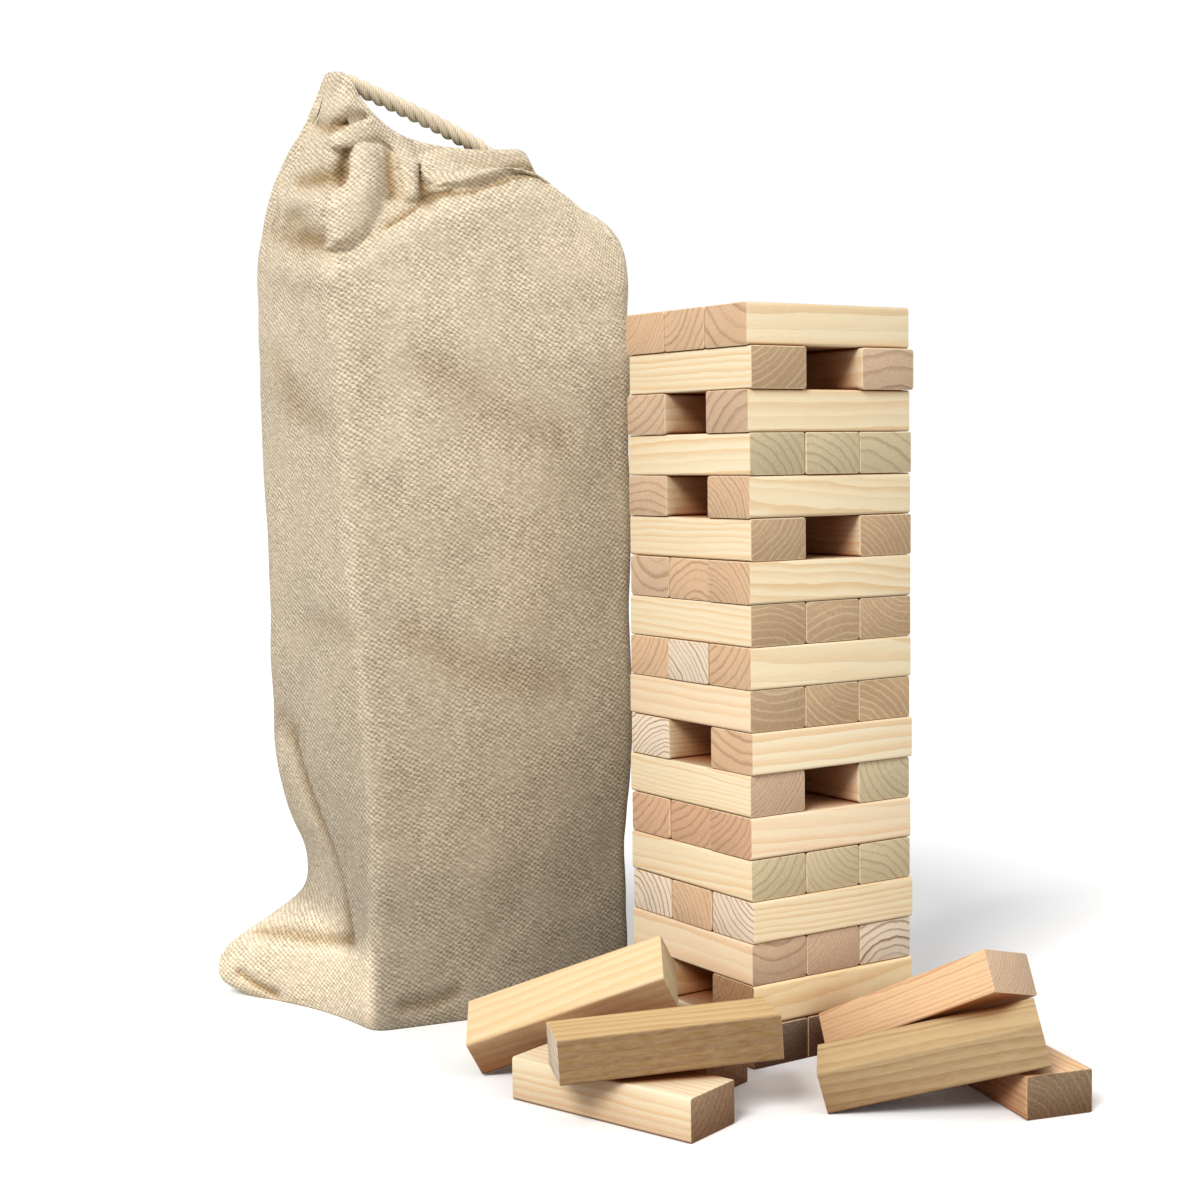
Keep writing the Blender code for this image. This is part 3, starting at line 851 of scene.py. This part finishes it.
def fold(rows):
    """Pushes the rolls out and the creases in, along the lines of sight from the front left. Also
    says how much painted shade each point takes in the creases and along the steps, 0 to 1, and how
    much painted light it takes beside a turn at the low left."""
    right, up_axis, forward = (np.array(axis) for axis in view_axes())
    from_eye = rows - np.array(CAMERA_PLACE)
    depth = from_eye @ forward
    across = VIEW_ORIGIN[0] + from_eye @ right / depth * BAG_DISTANCE
    up = VIEW_ORIGIN[1] + from_eye @ up_axis / depth * BAG_DISTANCE
    towards = -from_eye / np.linalg.norm(from_eye, axis=2, keepdims=True)
    facing = np.sum(normals(rows) * towards, axis=2)
    facing = smooth_step((facing - FACING_START) * FACING_GAIN)
    rolls, swells, creases, steps, hollow, shade, light = (
        np.zeros(across.shape) for _ in range(7))
    freed = np.ones(across.shape)
    for kind, height_mm, drawn in FOLDS:
        height = height_mm / 1000
        line = smooth_route([tuple(c / 1000 for c in point) for point in drawn], FOLD_STEPS)
        away, side, width, past = beside(across, up, line)
        near = away / width
        if kind == "roll":
            rolls = np.maximum(rolls, height * np.sqrt(np.clip(1 - near ** 2, 0, 1)))
        elif kind == "swell":
            swells += height * np.exp(-near ** 2)
        elif kind == "crease":
            creases += height * np.exp(-near ** 2)
            hollow += np.exp(-near ** 2 * HOLLOW_NARROW) * min(height_mm / HOLLOW_FULL, 1)
        else:
            ends = 1 - smooth_step(past / STEP_END)
            left = side > 0
            behind = smooth_step(away / width) * (1 - smooth_step(away / STEP_REACH)) * left
            lip = (1 - smooth_step(away / STEP_LIP)) * np.where(left, 1 - behind, 1.0)
            steps = np.maximum(steps, height * ends * (behind + lip * LIP_SHARE))
            grown = np.where(left, smooth_step(away / ROLL_ROOT), 0.0)
            freed = np.minimum(freed, 1 - ends * (1 - grown))
            near_edge = np.exp(-(away / STEP_SHADE) ** 2) * left * ends
            shade += near_edge * (LIP_DARK if kind == "lip" else 1.0)
            light += behind * ends * (kind == "turn")
    rolls *= freed
    open_share = 1 - np.clip(rolls / ROLL_COVERS, 0, 1)
    shift = (rolls + swells - steps - creases * open_share) * facing
    hollow = np.clip((hollow * open_share + shade) * facing, 0, 1)
    return rows + shift[..., None] * towards, hollow, light * facing


def slow_waves(rows):
    """Noise over the cloth, read at every few rows and columns and evened out between them."""
    every_row, every_column = WAVE_EVERY
    read = np.array([[noise.fractal(Vector(p) * WAVE_RATE, 1.0, 2.0, WAVE_OCTAVES)
                      for p in row[::every_column]] for row in rows[::every_row]])
    at_rows = np.arange(rows.shape[0]) / every_row
    at_columns = np.arange(rows.shape[1]) / every_column
    wide = np.array([np.interp(at_columns, np.arange(read.shape[1] + 1), np.append(r, r[0]))
                     for r in read])
    return np.array([np.interp(at_rows, np.arange(len(wide)), column) for column in wide.T]).T


def ruffle(rows):
    """Slack in the cloth: slow waves all over, and pleats where the cord gathers the back."""
    back, gather = (np.clip((rows[..., axis] - start) / run, 0, 1)
                    for axis, (start, run) in ((1, PLEAT_BACK), (2, PLEAT_RISE)))
    turns = np.arange(rows.shape[1]) / rows.shape[1] * math.tau
    drift, rounds = PLEAT_DRIFT
    pleats = np.sin(turns * PLEAT_COUNT + drift * np.sin(turns * rounds))[None, :]
    foot = np.clip(rows[..., 2] / FLAT_FOOT, 0, 1)
    shift = pleats * gather ** 1.5 * back * PLEAT_HEIGHT + slow_waves(rows) * WAVE_HEIGHT * foot
    return rows + normals(rows) * shift[..., None]


def floor_rows(first):
    """From the middle of the floor out to the wall's first row."""
    middle = first.mean(axis=0)
    return np.array([middle + (first - middle) * s + np.array([0, 0, FLOOR_LIFT * (1 - s)])
                     for s in np.linspace(*FLOOR_SHARES, FLOOR_ROWS)])


def above(value, span):
    """0 below span[0], and 1 from span[1] above it on."""
    return smooth_step((value - span[0]) / span[1])


def below(value, span):
    """0 above span[0], and 1 from span[1] below it on."""
    return smooth_step((span[0] - value) / span[1])


def painted_lighting(rows, around):
    """Painted light and shade on the cloth: lighter at the top and on the spread foot, darker low
    down, a painted highlight down the front left corner and painted shade at the low right of the
    front."""
    inward = rows - np.array(BAG_CORNER)
    height = rows[..., 2]
    # painted shade: darker towards the bottom, lighter at the top
    tone = np.interp(height, *zip(*HEIGHT_TONE))
    # painted light on the foot, which faces up
    foot = below(inward[..., 0], FOOT_RIGHT) * below(height, FOOT_TOP)
    tone = tone * (1 - foot) + FOOT_TONE * foot
    # painted highlight down the front left corner
    corner_highlight = np.exp(-(around / CORNER_HIGHLIGHT_WIDTH) ** 2)
    tone *= 1 + CORNER_HIGHLIGHT * corner_highlight * below(height, CORNER_TOP)
    # painted shade at the low right of the front, next to the tower
    shaded_low_right = above(around, SHADE_LOW_RIGHT_START) * below(height, SHADE_LOW_RIGHT_TOP)
    return tone * (1 - SHADE_LOW_RIGHT * shaded_low_right * (around < SHADE_LOW_RIGHT_END))


def hem_rows(rows):
    """Over the rim and down the inside: the turned hem that the drawstring runs in."""
    out = normals(rows)[-1]
    out[:, 2] = 0
    out /= np.linalg.norm(out, axis=1, keepdims=True)
    rim, up = rows[-1], np.array([0, 0, 1.0])
    turned = []
    for angle in HEM_TURNS:
        a = math.radians(angle)
        turned.append(rim - out * HEM_ROLL * (1 - math.cos(a)) + up * HEM_ROLL * math.sin(a))
    inner = turned[-1]
    for share in HEM_SHARES:
        lean = rows[-1 - int(share * HEM_WALL_ROWS)] - rim
        lean[:, 2] = 0
        turned.append(inner + lean - up * HEM_DEPTH * share)
    return np.array(turned)


def with_floor_and_hem(wall):
    return np.concatenate([floor_rows(wall[0]), wall, hem_rows(wall)])


def thread_places(rows, rim):
    """Where each point lies on the flat cloth: the way round from the front left corner, left of it
    below zero, and the height, carried on under the floor and over the hem by the way along the
    cloth. One column more than the rows: the seam, at the back, is met twice."""
    count = rows.shape[1]
    steps_up = np.linalg.norm(np.diff(rows, axis=0), axis=2)
    steps_up[FLOOR_ROWS:rim] = np.diff(rows[FLOOR_ROWS:rim + 1, :, 2], axis=0)
    upward = np.concatenate([np.zeros((1, count)), np.cumsum(steps_up, axis=0)])
    upward -= upward[FLOOR_ROWS]
    upward = np.concatenate([upward, upward[:, :1]], axis=1)
    steps_round = np.linalg.norm(np.roll(rows, -1, axis=1) - rows, axis=2)
    around = np.concatenate([np.zeros((len(rows), 1)), np.cumsum(steps_round, axis=1)], axis=1)
    seam = CORNER_STEPS * 2 + SIDE_STEPS[0] + SIDE_STEPS[1] + SIDE_STEPS[2] // 2
    around[:, seam:] -= around[:, -1:]
    return around, upward


def cloth_mesh(rows, around, upward):
    """The grid of points as a mesh closed under the floor, with the thread's places as its UV."""
    bm = bmesh.new()
    uv = bm.loops.layers.uv.new("weave")
    grid = [[bm.verts.new(p) for p in row] for row in rows]
    for r in range(len(rows) - 1):
        for c in range(len(grid[r])):
            d = (c + 1) % len(grid[r])
            face = bm.faces.new((grid[r][c], grid[r][d], grid[r + 1][d], grid[r + 1][c]))
            for loop, (i, j) in zip(face.loops, ((r, c), (r, c + 1), (r + 1, c + 1), (r + 1, c))):
                loop[uv].uv = (around[i, j], upward[i, j])
    bm.faces.new(grid[0][::-1])
    return mesh_from(bm, "canvas_bag")


def add_bag():
    to_row = np.array(bag_matrix())
    wall = relax(wall_rows(), RELAX_PASSES, RELAX_SHARE)
    wall = ruffle(wall) @ to_row[:3, :3].T + to_row[:3, 3]
    on_wall = slice(FLOOR_ROWS, FLOOR_ROWS + len(wall))
    around, upward = thread_places(with_floor_and_hem(wall), on_wall.stop - 1)
    wall, hollow, light = fold(wall)
    rows = with_floor_and_hem(relax(wall, 1, RELAX_SHARE))
    rows[..., 2] = np.maximum(rows[..., 2], LOWEST)
    tone = painted_lighting(rows, around[:, :-1])
    # painted light beside a turn at the low left
    tone[on_wall] *= 1 + TURN_LIGHT * light
    # painted shade in the creases and along the steps
    fold_shade = np.zeros(tone.shape)
    fold_shade[on_wall] = hollow
    mesh = cloth_mesh(rows, around, upward)
    for name, values in (("tone", tone), ("fold_shade", fold_shade)):
        mesh.attributes.new(name, "FLOAT", "POINT").data.foreach_set("value", values.ravel())
    mesh.materials.append(canvas())
    mesh.shade_smooth()
    piece = add_object("canvas_bag", mesh)
    cloth = piece.modifiers.new("cloth", "SOLIDIFY")
    cloth.thickness = CANVAS_THICKNESS
    cloth.offset = -1.0
    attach(piece, "bag")
    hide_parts("bag_shell")


def canvas():
    """Coarse plain weave: plump warp threads show as staggered ovals, with slubs and fuzz."""
    material, n, shader = new_material("canvas")
    uv = n.add("ShaderNodeUVMap", uv_map="weave").outputs["UV"]
    place = n.add("ShaderNodeTexCoord").outputs["Object"]
    tone, fold_shade = n.attribute("tone"), n.attribute("fold_shade")
    drift = n.math("ADD", n.noise(uv, 60.0, 2.0), n.times(n.noise(uv, 260.0, 2.0), 0.8))
    turned = n.add("ShaderNodeVectorRotate", {"Vector": uv, "Angle": math.radians(WEAVE_TURN)},
                   rotation_type="Z_AXIS").outputs["Vector"]
    parts = n.add("ShaderNodeSeparateXYZ", {"Vector": turned}).outputs
    y = n.math("DIVIDE", n.line(drift, WEAVE_STRAY[1], parts["Y"]), WEAVE_UP)
    x = n.math("DIVIDE", n.line(drift, WEAVE_STRAY[0], parts["X"]), WEAVE_ACROSS)
    x = n.line(y, WEAVE_LEAN, x)
    along = n.times(n.math("SUBTRACT", x, y), 0.5)
    aside = n.times(n.math("ADD", x, y), 0.5)
    rows = n.math("COSINE", n.times(aside, math.tau))
    gaps = n.math("COSINE", n.times(along, math.tau))
    cell = n.add("ShaderNodeCombineXYZ", {"X": n.math("ROUND", aside),
                                          "Y": n.math("ROUND", along)}).outputs["Vector"]
    plump = n.add("ShaderNodeTexWhiteNoise", {"Vector": cell}).outputs["Value"]
    ovals = n.line(rows, ROW_SHARE, n.times(gaps, GAP_SHARE))
    ovals = n.line(ovals, 0.5, 0.5)
    height = n.times(ovals, n.line(plump, 0.6, 0.7))
    # worn patches, where the weave's relief is flatter
    wear_and_highlight = n.step(n.noise(uv, 22.0, 3.0, 0.6), 0.36, 0.62)
    height = n.line(n.math("SUBTRACT", height, 0.5), n.line(wear_and_highlight, 0.5, 0.5), 0.5)
    slub = n.noise(n.vector("MULTIPLY", uv, (90.0, 340.0, 1.0)), 1.0, 2.0, 0.6)
    fuzz = n.noise(place, 1500.0, 2.0, 0.6)
    patch = n.noise(place, 11.0, 3.0, 0.55)
    # the colour follows the relief: painted shade darkens the gaps between the ovals, and the slubs
    # are the thread's own colour
    level = n.line(slub, 0.6, -0.06)
    level = n.line(height, 0.85, level, clamp=True)
    colour = n.mix(level, paint(CANVAS_DARK), paint(CANVAS_LIGHT))
    colour = n.vary(colour, patch, 0.20)
    colour = n.vary(colour, fuzz, 0.24)
    # painted light and shade from the tone attribute
    colour = n.scale(colour, tone)
    # painted shade in the creases and along the steps
    colour = n.mix(fold_shade, colour, n.mix(1.0, colour, paint(FOLD_SHADE_COLOUR), "MULTIPLY"))
    rough = n.line(fuzz, 0.1, 0.86)
    n.surface(shader, colour, rough, n.line(slub, 0.5, height), CANVAS_RELIEF, 0.12)
    shader.inputs["Sheen Weight"].default_value = 0.15
    return material


# ---- stage

def add_stage():
    """A plain pale floor, one soft warm key from the left and a weak fill from the right."""
    mesh = bpy.data.meshes.new("floor")
    corners = [(x * FLOOR_FAR, y * FLOOR_FAR, 0) for x, y in ((-1, -1), (1, -1), (1, 1), (-1, 1))]
    mesh.from_pydata(corners, [], [(0, 1, 2, 3)])
    material, n, shader = new_material("floor")
    seen = n.add("ShaderNodeLightPath").outputs["Is Camera Ray"]
    n.join(n.mix(seen, srgb(FLOOR_BOUNCE), srgb(FLOOR_COLOUR)), shader.inputs["Base Color"])
    shader.inputs["Roughness"].default_value = 0.9
    shader.inputs["Specular IOR Level"].default_value = 0.0
    mesh.materials.append(material)
    floor = add_object("floor", mesh)

    for name, direction, strength, spread, colour in SUNS:
        data = bpy.data.lights.new(name, "SUN")
        data.energy = strength
        data.angle = math.radians(spread)
        data.color = colour
        light = add_object(name, data)
        light.rotation_euler = Vector(direction).to_track_quat("-Z", "Y").to_euler()

    world = bpy.data.worlds.new("studio")
    world.use_nodes = True
    n = Nodes(world.node_tree)
    back = world.node_tree.nodes["Background"]
    seen = n.add("ShaderNodeLightPath").outputs["Is Camera Ray"]
    n.join(n.line(seen, 1.0 - SKY_STRENGTH, SKY_STRENGTH), back.inputs["Strength"])
    back.inputs["Color"].default_value = (1.0, 1.0, 1.0, 1.0)
    bpy.context.scene.world = world
    bpy.context.scene.view_settings.view_transform = "Standard"


add_camera()
add_ropes()
add_bag()
add_blocks()
add_stage()
